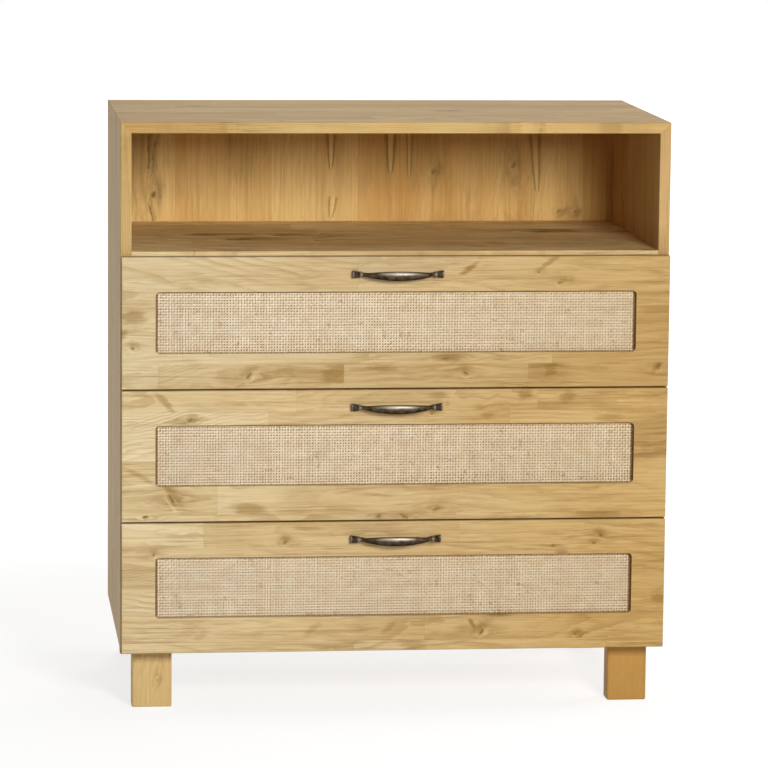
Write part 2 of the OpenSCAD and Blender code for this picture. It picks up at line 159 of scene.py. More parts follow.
class CaneSettings(bpy.types.PropertyGroup):
    """Woven cane"""
    pitch: length("Pitch", "Distance from one strand to the next", 0.00454)
    strand: length("Strand width", "Mean width of a strand", 0.0030)
    thickness: length("Strand thickness", "Thickness of a strand", 0.0008)
    pale: colour("Pale strands", "The lightest strands", 254, 240, 214)
    # painted shade on the cane along the window's frame
    edge: colour("Edge", "Cane against the frame, dark with lacquer", 136, 104, 58)
    # painted shade: the backing behind the weave is darkened so that its holes look shaded
    shaded_backing_pale: wood("cane's backing", "Lightest", 140, 100, 54)
    shaded_backing_brown: wood("cane's backing", "Darkest", 112, 78, 40)
    tan: colour("Tan strands", "The darkest strands", 234, 208, 170)
    # painted shade: what the cane's right end is tinted by
    shadow: tint("Shading", "What the cane's right end is tinted by", (0.89, 0.86, 0.80))


class PullSettings(bpy.types.PropertyGroup):
    """Cast bow pull"""
    length: length("Length", "Length over the feet", 0.150)
    reach: length("Reach", "How far the bow stands out", 0.027)
    bow: length("Bow height", "Height of the bow at its middle", 0.0156)
    foot: length("Foot height", "Height of a foot at its end", 0.0126)
    neck: length("Neck height", "Height of the neck", 0.0052)
    droop: length("Droop", "How far the middle of the bow hangs below its feet", 0.0013)
    # underneath the bow, this colour is painted shade
    hollow: colour("Hollows", "Metal in the hollows and underneath", 24, 17, 9)
    dark: colour("Dark metal", "Patina at its darkest", 50, 38, 26)
    brown: colour("Brown metal", "Patina at its lightest", 84, 70, 54)
    # also the colour of the painted highlight along the bow's crown
    polish_and_highlight: colour("Worn metal", "Metal that hands have polished", 124, 116, 104)


class StageSettings(bpy.types.PropertyGroup):
    """Camera, lights and floor"""
    camera: bpy.props.FloatVectorProperty(
        name="Camera", description="Where the camera stands", subtype="XYZ", unit="LENGTH",
        default=(-0.7506, -6.750, 1.4989),
    )
    yaw: angle("Yaw", "Turn of the camera to the right", 6.39)
    pitch: angle("Pitch", "Tilt of the camera down", 8.29)
    roll: angle("Roll", "Roll of the camera", -0.556)
    focal_pixels: quantity("Focal length", "In pixels of a picture 768 pixels wide", 4058)
    key: power("Key light", "The large light in front, on the right", 132)
    overhead: power("Overhead light", "The light over the top", 6)
    left: power("Left light", "The light on the left, behind the dresser's front", 5)
    right: power("Right light", "The light on the right, behind the dresser's front", 32)
    back: power("Back light", "The light behind the dresser", 90)
    ambient: quantity("Ambient", "Strength of the light all round", 0.15)


class DresserSettings(bpy.types.PropertyGroup):
    """Everything that this scene lets a user change"""
    pine: bpy.props.PointerProperty(type=PineSettings)
    cane: bpy.props.PointerProperty(type=CaneSettings)
    pull: bpy.props.PointerProperty(type=PullSettings)
    stage: bpy.props.PointerProperty(type=StageSettings)


def settings():
    return bpy.context.scene.dresser


# Shader maths

def operation(name):
    """A method of a wire that adds the Math node of this name."""
    return lambda self, *others: self.recipe.math(name, self, *others)


def reflected(name):
    """The same for a wire that stands on the right of a number."""
    return lambda self, other: self.recipe.math(name, other, self)


class Wire:
    """An output socket of a material. Python's operators on it add Math nodes."""

    __add__ = __radd__ = operation("ADD")
    __sub__ = operation("SUBTRACT")
    __rsub__ = reflected("SUBTRACT")
    __mul__ = __rmul__ = operation("MULTIPLY")
    __truediv__ = operation("DIVIDE")
    __rtruediv__ = reflected("DIVIDE")
    __pow__ = operation("POWER")
    __rpow__ = reflected("POWER")
    __mod__ = operation("FLOORED_MODULO")
    __abs__ = operation("ABSOLUTE")
    __floor__ = operation("FLOOR")
    __lt__ = operation("LESS_THAN")
    __gt__ = operation("GREATER_THAN")
    larger = operation("MAXIMUM")
    smaller = operation("MINIMUM")
    fraction = operation("FRACT")
    root = operation("SQRT")
    sine = operation("SINE")

    def __init__(self, recipe, socket):
        self.recipe = recipe
        self.socket = socket

    def rise(self, low, high):
        """0 below low and 1 above high, or the other way round, with a smooth step between."""
        return self.recipe.add(
            "ShaderNodeMapRange",
            {"interpolation_type": "SMOOTHSTEP"},
            {"Value": self, "From Min": low, "From Max": high},
        )


class Recipe:
    """The nodes of a material or of the world, built one at a time."""

    def __init__(self, owner):
        owner.use_nodes = True
        self.owner = owner
        self.tree = owner.node_tree
        self.tree.nodes.clear()

    def add(self, kind, options=None, inputs=None, output=0):
        """Adds a node with its options, feeds its sockets, and gives one of its outputs."""
        node = self.tree.nodes.new(kind)
        for key, value in (options or {}).items():
            setattr(node, key, value)
        for key, value in (inputs or {}).items():
            self.feed(node.inputs[key], value)
        return Wire(self, node.outputs[output])

    def feed(self, socket, value):
        if isinstance(value, Wire):
            self.tree.links.new(value.socket, socket)
        elif socket.type == "RGBA" and len(value) == 3:
            socket.default_value = (*value, 1)
        else:
            socket.default_value = value

    def math(self, operation, *values):
        return self.add("ShaderNodeMath", {"operation": operation}, dict(enumerate(values)))

    def mix(self, factor, first, second, blend="MIX"):
        """Mixes two colours."""
        return self.add(
            "ShaderNodeMix",
            {"data_type": "RGBA", "blend_type": blend},
            {0: factor, 6: first, 7: second},
            2,
        )

    def vector(self, x=0.0, y=0.0, z=0.0):
        return self.add("ShaderNodeCombineXYZ", None, {0: x, 1: y, 2: z})

    def split(self, vector):
        """The three parts of a vector or a colour."""
        node = self.tree.nodes.new("ShaderNodeSeparateXYZ")
        self.feed(node.inputs[0], vector)
        return [Wire(self, socket) for socket in node.outputs]

    def place(self):
        """Where a point of the piece is, in metres in the row frame at rest."""
        return self.add("ShaderNodeTexCoord", None, None, 3)

    def facing(self):
        """The direction that the surface faces, along the axes of the piece."""
        return self.split(self.add("ShaderNodeTexCoord", None, None, 1))

    def board(self, along, across):
        """Places along the grain, across it and through the board."""
        place = self.split(self.place())
        first = "XYZ".index(along)
        second = "XYZ".index(across)
        return place[first], place[second], place[3 - first - second]

    def noise(self, place, detail=2.0, roughness=0.5, scale=1.0, output=0):
        """Noise at a place, which is a vector or two or three numbers."""
        if isinstance(place, tuple):
            place = self.vector(*place)
        return self.add(
            "ShaderNodeTexNoise",
            None,
            {"Vector": place, "Scale": scale, "Detail": detail, "Roughness": roughness},
            output,
        )

    def coats(self, base, *coats):
        """Lays colours over a base colour, each by its own amount."""
        for cover, hue in coats:
            base = self.mix(cover, base, hue)
        return base

    def seen(self):
        """1 for rays from the camera, in mirrors and through glass, and 0 for the light on things."""
        rays = self.tree.nodes.new("ShaderNodeLightPath")
        seen = Wire(self, rays.outputs["Is Camera Ray"])
        for kind in ("Is Glossy Ray", "Is Transmission Ray"):
            seen = seen.larger(Wire(self, rays.outputs[kind]))
        return seen

    def end(self, kind, wire):
        """Feeds the output node of this kind, and gives the finished material or world."""
        output = self.tree.nodes.new(kind)
        self.feed(output.inputs[0], wire)
        return self.owner

    def chances(self, number):
        """Three random numbers from 0 to 1 that depend on one number."""
        return self.split(
            self.add("ShaderNodeTexWhiteNoise", {"noise_dimensions": "1D"}, {"W": number}, 1)
        )

    def finish(self, base, roughness, height, depth, **constants):
        """Ends the material in a Principled shader, bumped by a height of some depth, with constants
        on the shader's own sockets."""
        shader = self.tree.nodes.new("ShaderNodeBsdfPrincipled")
        self.feed(shader.inputs["Base Color"], base)
        self.feed(shader.inputs["Roughness"], roughness)
        for key, value in constants.items():
            self.feed(shader.inputs[key.replace("_", " ")], value)
        bump = self.add("ShaderNodeBump", None, {"Strength": 1.0, "Distance": depth, "Height": height})
        self.feed(shader.inputs["Normal"], bump)
        return self.end("ShaderNodeOutputMaterial", Wire(self, shader.outputs[0]))


def paint(name, material):
    """Gives a node of the frame its finish."""
    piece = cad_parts[name]
    if not piece.material_slots:
        piece.data.materials.append(material)
    for slot in piece.material_slots:
        slot.material = material


# Wood

@dataclass
class Knot:
    """A knot by its place along and across the grain, its radius, how far it is stretched along, how
    dark it is, and how far it leans, in radians. Its side with painted shade is the one that it
    leans to, and a painted highlight lies on the other."""
    along: float
    across: float
    radius: float
    stretch: float = 1.3
    dark: float = 1.0
    lean: float = 0.5


@dataclass
class Smudge:
    """A resin-dark patch of one lamella: its middle, half its length and height, how dark it is, and
    how far it leans, in radians."""
    along: float
    across: float
    length: float
    height: float
    dark: float = 0.7
    lean: float = 0.0


class Spike(Smudge):
    """A branch cut along its length: a pale tongue with a dark edge, pointed where the branch ends."""


@dataclass
class Blank:
    """A board before it is machined: the glue lines between its staves, and the lamellas that each
    stave is finger-jointed from, by their lengths and the place of one joint in each stave."""
    glue_lines: tuple
    lamellas: tuple
    ends: tuple

    # the outer staves count as this wide, whatever is cut off them
    outer_stave = 0.06

    def staves(self):
        """The middle of each stave, from the first to the last."""
        first = self.glue_lines[0] - self.outer_stave
        last = self.glue_lines[-1] + self.outer_stave
        edges = [first, *self.glue_lines, last]
        return [(a + b) / 2 for a, b in zip(edges, edges[1:])]

    def stave_at(self, across):
        return sum(line < across for line in self.glue_lines)

    def lamella_at(self, along, across):
        stave = self.stave_at(across)
        return math.floor((along - self.ends[stave]) / self.lamellas[stave])


def glued_up(low, high, width, lamella, seed):
    """A blank from low to high, of staves about a width wide and lamellas of one length."""
    narrowest = 0.3 * width
    draw = random.Random(seed)
    lines = []
    place = low + width * draw.uniform(0.5, 1.0)
    while place < high - narrowest:
        lines.append(place)
        place += width * draw.uniform(0.8, 1.2)
    lines = lines or [high + width]
    staves = len(lines) + 1
    return Blank(lines, [lamella] * staves, [draw.uniform(0, lamella) for _ in range(staves)])


class Figure:
    """What the knots and smudges of one board do to its wood: how far they bend the grain, and masks
    of the wood that they change. Noises are in waves to the metre, and masks in sizes of the mark."""

    def __init__(self, wood, u, v, w, stave, lamella, first, marks, blank):
        self.wood = wood
        self.speckle = wood.noise((u * 300.0, v * 300.0, w * 300.0))
        self.lumps = wood.noise((u * 110.0, v * 150.0, w * 110.0))
        self.drift = wood.noise((u * 20.0, v * 130.0, w * 34.0), 3.0)
        self.bend = self.halo = self.shade = 0.0
        self.pale_and_highlight = self.body = self.core = 0.0
        for mark in marks:
            index = first + blank.stave_at(mark.across)
            same = abs(stave - index) < 0.5
            if isinstance(mark, Knot):
                self.flow(mark, u, v, same)
                self.knot(mark, u, v, same)
            elif isinstance(mark, Spike):
                self.spike(mark, u, v, same)
            else:
                number = blank.lamella_at(mark.along, mark.across)
                same = same * (abs(lamella - number) < 0.5)
                self.smudge(mark, u, v, same)

    def turned(self, mark, u, v, length, height):
        """Places along and across a mark, in its own half length and height."""
        wood = self.wood
        return wood.split(
            wood.add(
                "ShaderNodeMapping",
                {"vector_type": "TEXTURE"},
                {
                    "Vector": wood.vector(u, v),
                    "Location": (mark.along, mark.across, 0),
                    "Rotation": (0, 0, mark.lean),
                    "Scale": (length, height, 1),
                },
            )
        )[:2]

    def flow(self, knot, u, v, same):
        """The grain parts before the knot and closes behind it."""
        beside = (v - knot.across) / knot.radius
        before = (u - knot.along) / (knot.radius * knot.stretch * 2.2)
        away = beside * beside + before * before
        self.bend = beside * same * knot.radius / (away * 0.22 + 0.75) + self.bend
        self.halo = (same * away.rise(15.0, 0.5) * knot.dark).larger(self.halo)

    def knot(self, knot, u, v, same):
        """A dark heart in tan wood, with olive resin and painted shade on one side and a painted
        highlight on the other.
        """
        p, q = self.turned(knot, u, v, knot.radius * knot.stretch, knot.radius)
        if knot.stretch >= 3:
            q = (p * 2.6).sine() * 0.7 + q
        ragged = (p * p + q * q).root() + (self.lumps - 0.5) * 2.4 + (self.speckle - 0.5) * 0.8
        narrow = (p * p * 0.8 + q * q * 4.0).root() + (self.lumps - 0.5) * 2.0
        tilt = p * math.copysign(0.22, knot.lean) + q * 0.30
        same = same * knot.dark
        # painted shade on the side that the knot leans to, over its olive resin
        self.shade = (ragged.rise(4.6, 0.6) * tilt.rise(-0.2, 0.7) * same).larger(self.shade)
        # a painted highlight on the other side
        pale_and_highlight = abs(ragged - 1.5).rise(0.8, 0.0) * tilt.rise(-0.15, -0.75)
        self.pale_and_highlight = (pale_and_highlight * same).larger(self.pale_and_highlight)
        self.body = (same * ragged.rise(1.35, 0.55)).larger(self.body)
        self.core = (same * narrow.rise(1.0, 0.2)).larger(self.core)

    def smudge(self, smudge, u, v, same):
        """Wood that drank more lacquer, ragged along the grain."""
        p, q = self.turned(smudge, u, v, smudge.length, smudge.height)
        away = (p * p + q * q).root() + (self.drift - 0.5) * 1.8 + (self.lumps - 0.5) * 0.5
        self.shade = (away.rise(1.25, 0.35) * smudge.dark * same).larger(self.shade)

    def spike(self, spike, u, v, same):
        """Narrow where the branch ends, and open where it leaves the log."""
        p, q = self.turned(spike, u, v, spike.length, spike.height)
        opening = (p * 0.5 + 0.5).larger(0.0) ** 0.36 + 0.02
        side = abs(q) / opening + (self.lumps - 0.5) * 0.5
        within = p.rise(1.3, 0.9) * p.rise(-1.15, -0.95) * same * spike.dark
        self.pale_and_highlight = (side.rise(0.95, 0.45) * within).larger(self.pale_and_highlight)
        self.body = (abs(side - 1.3).rise(0.85, 0.0) * within * 1.4).larger(self.body)
        self.core = (abs(side - 1.05).rise(0.42, 0.0) * within * 0.55).larger(self.core)


# how far from the middle of a joint its glue shows, and from where it shows in full
JOINT = 0.0005
JOINT_CORE = 0.0001
# painted shade: the boards darken from left to right across the dresser between these two places, in
# metres
PAINTED_SHADE_SPAN = (-0.46, 0.46)


def pine(
    name, along, across, blank, marks=(), *,
    seed, tones, contrast=1.3, spread=0.35, painted_shade=0.0, gap_shade_edges=(),
):
    """Edge-glued pine under a clear lacquer. Each lamella is cut from its own log, so rings, tone
    and grain change at every joint, and the grain flows round the knots. Contrast is that of the
    grain, and spread that of the lamellas' tones. Painted shade darkens the board towards the
    dresser's right end, and in a thin line along each listed edge, for the shade in the gap there."""
    look = settings().pine
    # pale wood for flecks and spike tongues, and for the painted highlight beside knots
    bright = [min(part * look.pale_and_highlight, 1.0) for part in tones[0]]
    wood = Recipe(bpy.data.materials.new(name))
    u, v, w = wood.board(along, across)

    # which stave and lamella a point is on, numbered so that no two boards share a log
    first = seed * 17.0
    middles = blank.staves()
    stave = first
    middle = middles[0]
    end = blank.ends[0]
    length = blank.lamellas[0]
    seam = 0.0
    for k, line in enumerate(blank.glue_lines):
        past = v > line
        stave = past + stave
        middle = past * (middles[k + 1] - middles[k]) + middle
        end = past * (blank.ends[k + 1] - blank.ends[k]) + end
        if blank.lamellas[k + 1] != blank.lamellas[k]:
            length = past * (blank.lamellas[k + 1] - blank.lamellas[k]) + length
        seam = abs(v - line).rise(JOINT, JOINT_CORE).larger(seam)
    turns = (u - end) / length
    lamella = math.floor(turns)
    from_middle = turns - lamella - 0.5
    seam = abs(from_middle).rise(0.5 - JOINT / length, 0.5 - JOINT_CORE / length).larger(seam)
    one, two, three = wood.chances(lamella * 0.37 + stave)

    figure = Figure(wood, u, v, w, stave, lamella, first, marks, blank)
    across_grain = v - figure.bend

    # growth rings round a heart that wanders along the log
    wander = wood.split(wood.noise((u, stave), 1.0, scale=2.0, output=1))
    ripple = wood.noise((u * 14.0, v * 30.0, w * 30.0), 3.0)
    heart_v = (one - 0.5) * 0.19 + middle + (wander[0] - 0.5) * 0.045
    heart_w = two * 0.055 + 0.012 + (wander[1] - 0.5) * 0.03
    slant = ((three - 0.5) * 2.0) ** 3.0 * 0.20
    from_v = across_grain - heart_v + slant * (from_middle * length)
    from_w = w + heart_w
    radius = (from_v * from_v + from_w * from_w).root() + ripple * 0.006
    years = radius / (three * look.ring + 0.5 * look.ring)
    phase = years.fraction()
    late = phase.rise(0.30, 0.90) * phase.rise(1.0, 0.94)
    vigour = wood.noise((radius * 70.0, u * 5.0, stave)).rise(0.36, 0.66)
    rings = late * (vigour * 0.9 + 0.1)

    # slow changes of tone, livelier patches, smudges, long streaks, hairs, pale flecks that are partly
    # pale wood and partly painted sheen, and single fibres
    cloud = wood.noise((u * 4.0, v * 24.0, w * 20.0), 3.0)
    lively = wood.noise((u * 6.0, v * 26.0, stave + 5.0)).rise(0.40, 0.62)
    smudge = wood.noise((u * 10.0, across_grain * 64.0, stave), 3.0, 0.6)
    streak = wood.noise((u * 3.2, across_grain * 250.0, stave), 3.0, 0.6)
    hair = wood.noise((u * 13.0, across_grain * 470.0, w * 330.0), 3.0, 0.7)
    flash = wood.noise((u * 18.0, across_grain * 240.0, stave + 9.0))
    fibre = wood.noise((u * 10.0, v * 480.0, w * 480.0), 3.0, 0.6)
    ducts = wood.noise((u * 40.0, v * 800.0, w * 800.0), 1.0).rise(0.68, 0.78)

    tone = (two - 0.5) * spread + cloud * 0.9 + streak * 0.5 - 0.2
    base = wood.coats(
        wood.mix(tone.rise(0.0, 1.0), *tones),
        (smudge.rise(0.54, 0.74) * (0.40 * contrast), look.olive),
        (rings * (figure.halo * 0.35 + 0.32 * contrast), look.line),
        (streak.rise(0.50, 0.70) * (lively * 0.26 + 0.14) * contrast, look.line),
        (hair.rise(0.46, 0.66) * (lively * 0.26 + 0.08) * contrast, look.line),
        (flash.rise(0.55, 0.72) * (lively * 0.22 + figure.halo * 0.3 + 0.08) * contrast, bright),
        (fibre.rise(0.46, 0.74) * 0.18, look.line),
        (ducts * 0.30, look.line),
        (seam * 0.22, look.line),
    )
    if marks:
        shade = figure.shade * (rings * 0.3 + hair * 0.5 + streak * 0.6 + 0.22)
        base = wood.coats(
            base,
            (figure.halo * 0.14, look.olive),
            (shade.smaller(1.0), look.olive),
            (figure.body * (figure.speckle * 0.5 + 0.25), look.knot),
            # pale spike tongues, and the painted highlight beside knots
            (figure.pale_and_highlight * (figure.speckle * 0.8), bright),
            (figure.core * 0.72, look.bark),
        )
    # painted shade, darker towards the dresser's right end
    if painted_shade:
        x = wood.split(wood.place())[0]
        base = wood.mix(x.rise(*PAINTED_SHADE_SPAN) * painted_shade, base, look.deep, "MULTIPLY")
    # painted shade: a thin dark line along each listed edge, for the shade in the gap beside it
    for gap_shade_edge in gap_shade_edges:
        base = wood.coats(base, (abs(v - gap_shade_edge).rise(0.0012, 0.0004) * 0.5, look.bark))
    # end grain is darker with lacquer; on the window's recess walls the same darkening is also painted
    # shade for the recess
    ends = abs(wood.facing()["XYZ".index(along)]).rise(0.80, 0.95)
    base = wood.coats(base, (ends * 0.80, look.end_grain))
    roughness = fibre * 0.12 - rings * 0.06 + ends * 0.5 + (look.roughness - 0.02)
    height = fibre * 0.35 + rings * 0.4 - ducts * 0.3 - seam * 0.5 - figure.core * 0.3
    return wood.finish(base, roughness, height, 0.0002, Specular_IOR_Level=0.15)


def plywood(name, along, across, pale=srgb(240, 222, 188), brown=srgb(224, 198, 156)):
    """Sanded plywood, its veneer peeled from the log in long flames."""
    veneer = 0.0015
    wood = Recipe(bpy.data.materials.new(name))
    u, v, w = wood.board(along, across)
    broad = wood.noise((u * 3.0, v * 11.0), 3.0)
    fibre = wood.noise((u * 22.0, v * 500.0, w * 500.0), 3.0, 0.6)
    layer = (w / veneer).fraction().rise(0.4, 0.6)
    flames = (broad * 13.0).fraction()
    flames = flames.rise(0.45, 0.90) * flames.rise(1.0, 0.94)
    base = wood.coats(
        wood.mix(broad, pale, brown),
        (flames * 0.30, srgb(176, 138, 92)),
        (abs(fibre - 0.5) * 0.6, srgb(160, 122, 76)),
        (layer * 0.06, srgb(140, 100, 60)),
    )
    return wood.finish(base, fibre * 0.2 + 0.5, fibre, 0.0001, Specular_IOR_Level=0.12)


# Metal

def zinc_steel(name):
    """Bright zinc on pressed steel: rolled lines, and a faint yellow cloud."""
    steel = Recipe(bpy.data.materials.new(name))
    x, y, z = steel.split(steel.place())
    rolled = steel.noise((x * 900.0, y * 12.0, z * 900.0), 3.0)
    cloud = steel.noise(steel.place(), 3.0, scale=46.0)
    base = steel.mix(cloud, srgb(206, 208, 210), srgb(178, 176, 166))
    base = steel.coats(base, (rolled * 0.25, srgb(140, 142, 146)))
    return steel.finish(base, rolled * 0.18 + cloud * 0.12 + 0.18, rolled, 0.00004, Metallic=1.0)


def antique_bronze(name):
    """Dark patina, black in the hollows, with painted shade on the surfaces that face down, and
    polished where fingers and cloths rub it, with a painted highlight along the crown of the bow.
    """
    look = settings().pull
    bronze = Recipe(bpy.data.materials.new(name))
    place = bronze.place()
    x, y, z = bronze.split(place)
    cloud = bronze.noise(place, 4.0, 0.6, scale=110.0)
    grit = bronze.noise(place, scale=900.0)
    brushed = bronze.noise((x * 50.0, y * 700.0, z * 700.0))
    # the ridges beside the beads and the rims of the feet stand proud and are polished; the crown of
    # the bow is polished too, and its band is also a painted highlight
    from_middle = abs(x)
    upward = bronze.facing()[2]
    crown = abs(upward - 0.40).rise(0.55, 0.05) * from_middle.rise(0.050, 0.012)
    ridge = abs(from_middle - 0.0615).rise(0.0030, 0.0006)
    rim = from_middle.rise(0.0710, 0.0735)
    polished_and_lit = crown.larger(ridge).larger(rim * 0.6)
    polish_and_highlight = (polished_and_lit * (cloud * 1.1 + brushed * 0.4 + 0.25)).rise(0.05, 0.95)
    base = bronze.coats(
        bronze.mix(cloud.rise(0.35, 0.65), look.dark, look.brown),
        # painted shade on the surfaces that face down
        (upward.rise(-0.10, -0.75) * 0.75, look.hollow),
        (polish_and_highlight, look.polish_and_highlight),
        (grit.rise(0.55, 0.75) * 0.30, look.hollow),
    )
    roughness = 0.42 - polish_and_highlight * 0.06 + grit * 0.12
    return bronze.finish(base, roughness, cloud * 0.6 + grit * 0.4, 0.00018, Metallic=1.0)


# Cane

# how far the cane reaches behind the wood round its window
LAP = Vector((0.0076, 0, 0.0076))


def window(number):
    """The lowest and highest corner of the window in a drawer front."""
    low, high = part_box(f"drawer_{number}_cane_panel")
    return low + LAP, high - LAP


def cane(name, across):
    """Split cane, a tone to each strand, with its fibres along it. Strands lie across this axis."""
    look = settings().cane
    skin = Recipe(bpy.data.materials.new(name))
    x, y, z = skin.split(skin.place())
    over, along = (x, z) if across == "X" else (z, x)
    strand = math.floor(over / look.pitch)
    # the two sets of strands are numbered apart
    first = {"X": 3.5, "Z": 91.5}[across]
    one, two, _ = skin.chances(strand + first)
    fibre = skin.noise((over * 2600.0, along * 60.0, y * 2600.0))
    patch = skin.noise((over * 150.0, along * 90.0, strand), 3.0)
    stain = skin.noise((over * 60.0, along * 38.0), 3.0)
    node_mark = skin.noise((along * 60.0, strand * 7.3), 0.0).rise(0.72, 0.80)
    tone = (one * 0.26 + patch * 1.3 + stain * 1.4 - 0.98).rise(0.0, 1.0)
    base = skin.coats(
        skin.mix(tone, look.pale, look.tan),
        (fibre.rise(0.45, 0.8) * 0.25, srgb(176, 142, 98)),
        (two.rise(0.955, 0.99) * 0.16, srgb(164, 128, 88)),
        (node_mark * 0.5, srgb(150, 112, 72)),
    )
    # painted shade: the cane darker towards its right end
    base = skin.mix(x.rise(-0.30, 0.40), base, look.shadow, "MULTIPLY")
    # painted shade where the cane meets the frame, for the shade of the window's recess, most at the
    # top and the sides
    low, high = window(1)
    height = high.z - low.z
    from_drawer_to_drawer = low.z - window(2)[0].z
    rise = (z - low.z) % from_drawer_to_drawer
    sill = rise.rise(0.0018, 0.0006)
    head = rise.rise(height - 0.0042, height - 0.0018)
    jamb = abs(x).rise(high.x - 0.0052, high.x - 0.0020)
    edge = (sill * 0.45).larger(head * 0.9).larger(jamb)
    base = skin.coats(base, (edge * 0.96, look.edge))
    return skin.finish(base, fibre * 0.2 + 0.5, fibre, 0.00008, Specular_IOR_Level=0.12)


def strand_path(place, start, end, pitch, draw):
    """Points along one strand, with its rise out of the weave's middle plane and its sway aside."""
    steps_per_pitch = 3
    lift = 0.00062
    broad_sway, fine_sway = 0.00012, 0.00006
    count = round((end - start) / pitch) * steps_per_pitch
    drift = draw.uniform(0, 6.28)
    for k in range(count + 1):
        along = start + (end - start) * k / count
        wave = math.cos(math.pi * (along / pitch + place))
        broad = broad_sway * math.sin(along * 21.0 + drift)
        fine = fine_sway * math.sin(along * 90.0 + drift * 3)
        yield along, lift * wave, broad + fine


def weave_strands(number, lengthways):
    """The cane's upright or lengthways strands in one drawer front, as one mesh."""
    look = settings().cane
    low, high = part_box(f"drawer_{number}_cane_panel")
    pitch = look.pitch
    draw = random.Random(number * 10 + lengthways)
    middle_y = (low.y + high.y) / 2
    if lengthways:
        start, end, first, last = low.x, high.x, low.z, high.z
    else:
        start, end, first, last = low.z, high.z, low.x, high.x
    mesh = bmesh.new()
    for index in range(math.ceil(first / pitch), math.floor(last / pitch)):
        centre = (index + 0.5) * pitch + draw.uniform(-0.00018, 0.00018)
        half = look.strand / 2 * draw.uniform(0.86, 1.07)
        thick = look.thickness / 2 * draw.uniform(0.85, 1.15)
        flat = 0.45 * half
        section = ((-half, 0.0), (-flat, -thick), (flat, -thick), (half, 0.0), (0.0, thick))
        # a strand goes over where the other set goes under
        rings = []
        for along, rise, sway in strand_path(index + lengthways, start, end, pitch, draw):
            ring = []
            for offset, out in section:
                side = centre + sway + offset
                x, z = (along, side) if lengthways else (side, along)
                ring.append((x, middle_y - rise + out, z))
            rings.append(ring)
        tube(mesh, rings)
    name = f"drawer_{number}_cane_{'weft' if lengthways else 'warp'}"
    return tube_piece(name, mesh)


def tube(mesh, rings):
    """Adds a closed tube through rings of points."""
    rings = [[mesh.verts.new(point) for point in ring] for ring in rings]
    count = len(rings[0])
    for a, b in zip(rings, rings[1:]):
        for k in range(count):
            face = mesh.faces.new((a[k], a[(k + 1) % count], b[(k + 1) % count], b[k]))
            face.smooth = True
    mesh.faces.new(rings[0])
    mesh.faces.new(rings[-1])


def tube_piece(name, mesh):
    """A bmesh of tubes, turned right side out, as an object of the scene."""
    bmesh.ops.recalc_face_normals(mesh, faces=mesh.faces)
    return mesh_piece(name, mesh)


def mesh_piece(name, mesh):
    """A finished bmesh as an object of the scene."""
    data = bpy.data.meshes.new(name)
    mesh.to_mesh(data)
    mesh.free()
    piece = bpy.data.objects.new(name, data)
    bpy.context.scene.collection.objects.link(piece)
    return piece


# Pulls

# in a metre
MILLIMETRES = 1000


class PullForm:
    """The shape of a pull, by the distance s from its middle: a bow between two necks, and a foot
    that flares from each neck, with a bead round its root. Millimetres, as the metalworker has them."""

    foot_root = 57.5
    foot_blend = 50
    bead_place = 60.5
    bead_width = 1.6
    bead_swell = 0.9
    bead_stand = 0.6
    bow_thickness = 7.6
    bow_inner_end = 46
    bow_closing = 16
    neck_reach = 15.5
    foot_reach = 9.5
    end_rounding = 1.5
    end_drop = 1.4
    end_narrowing = 0.14
    # shares of the reach: where a foot is widest, and how deep it is behind that
    foot_widest = 0.45
    foot_depth = 1.6
    # powers that give the fullness of an outline, where 1 is the plain one
    bow_fullness = 0.9
    foot_fullness = 0.6
    # powers of a rounded section: 2 is an oval, and more is squarer
    bow_section = 2.2
    foot_section = 3.4

    def __init__(self, look):
        for size in ("length", "reach", "bow", "foot", "neck", "droop"):
            setattr(self, size, getattr(look, size) * MILLIMETRES)
        self.half_length = self.length / 2

    def bead(self, s):
        return self.bead_swell * math.exp(-(((s - self.bead_place) / self.bead_width) ** 2))

    def foot_share(self, s):
        return min(1, max(0, (s - self.foot_root) / (self.half_length - self.foot_root)))

    def end_round(self, s):
        over = max(0, s - self.half_length + self.end_rounding) / self.end_rounding
        return math.sqrt(max(0, 1 - over**2))

    def half_height(self, s):
        if s < self.foot_root:
            share = max(0, math.cos(math.pi / 2 * s / self.foot_root)) ** self.bow_fullness
            return (self.neck + (self.bow - self.neck) * share) / 2 + self.bead(s)
        share = self.foot_share(s)
        flare = (self.neck + (self.foot - self.neck) * share**self.foot_fullness) / 2
        narrowing = self.end_narrowing * (1 - self.end_round(s))
        return flare * (1 - narrowing) + self.bead(s) * (1 - share)

    def outer(self, s):
        bead = self.bead(s) * self.bead_stand
        if s < self.foot_root:
            bow = (self.reach - self.neck_reach) * (1 - (s / self.foot_root) ** 2)
            return self.neck_reach + bow + bead
        drop = (self.neck_reach - self.foot_reach) * smooth(self.foot_share(s))
        return self.neck_reach - drop + bead - self.end_drop * (1 - self.end_round(s))

    def inner(self, s):
        if s >= self.foot_root:
            return 0
        closing = max(0, s - self.bow_inner_end) / (self.foot_root - self.bow_inner_end)
        return max(0, self.outer(s) - self.bow_thickness - self.bow_closing * closing**3)

    def section(self, x, sides):
        """Points round one section, as x, distance from the front, and height."""
        s = abs(x)
        high, low = self.outer(s), self.inner(s)
        foot = smooth((s - self.foot_blend) / (self.foot_root - self.foot_blend))
        middle = (high + low) / 2 * (1 - foot) + high * self.foot_widest * foot
        up = high - middle
        down = (middle - low) * (1 - foot) + middle * self.foot_depth * foot
        corner = 2 / (self.bow_section + (self.foot_section - self.bow_section) * foot)
        drop = self.droop * max(0, 1 - (s / self.foot_root) ** 2)
        for k in range(sides):
            c, q = math.cos(math.tau * k / sides), math.sin(math.tau * k / sides)
            out = middle + math.copysign(abs(q) ** corner, q) * (up if q > 0 else down)
            rise = self.half_height(s) * math.copysign(abs(c) ** corner, c)
            yield x, max(0, out), rise - drop


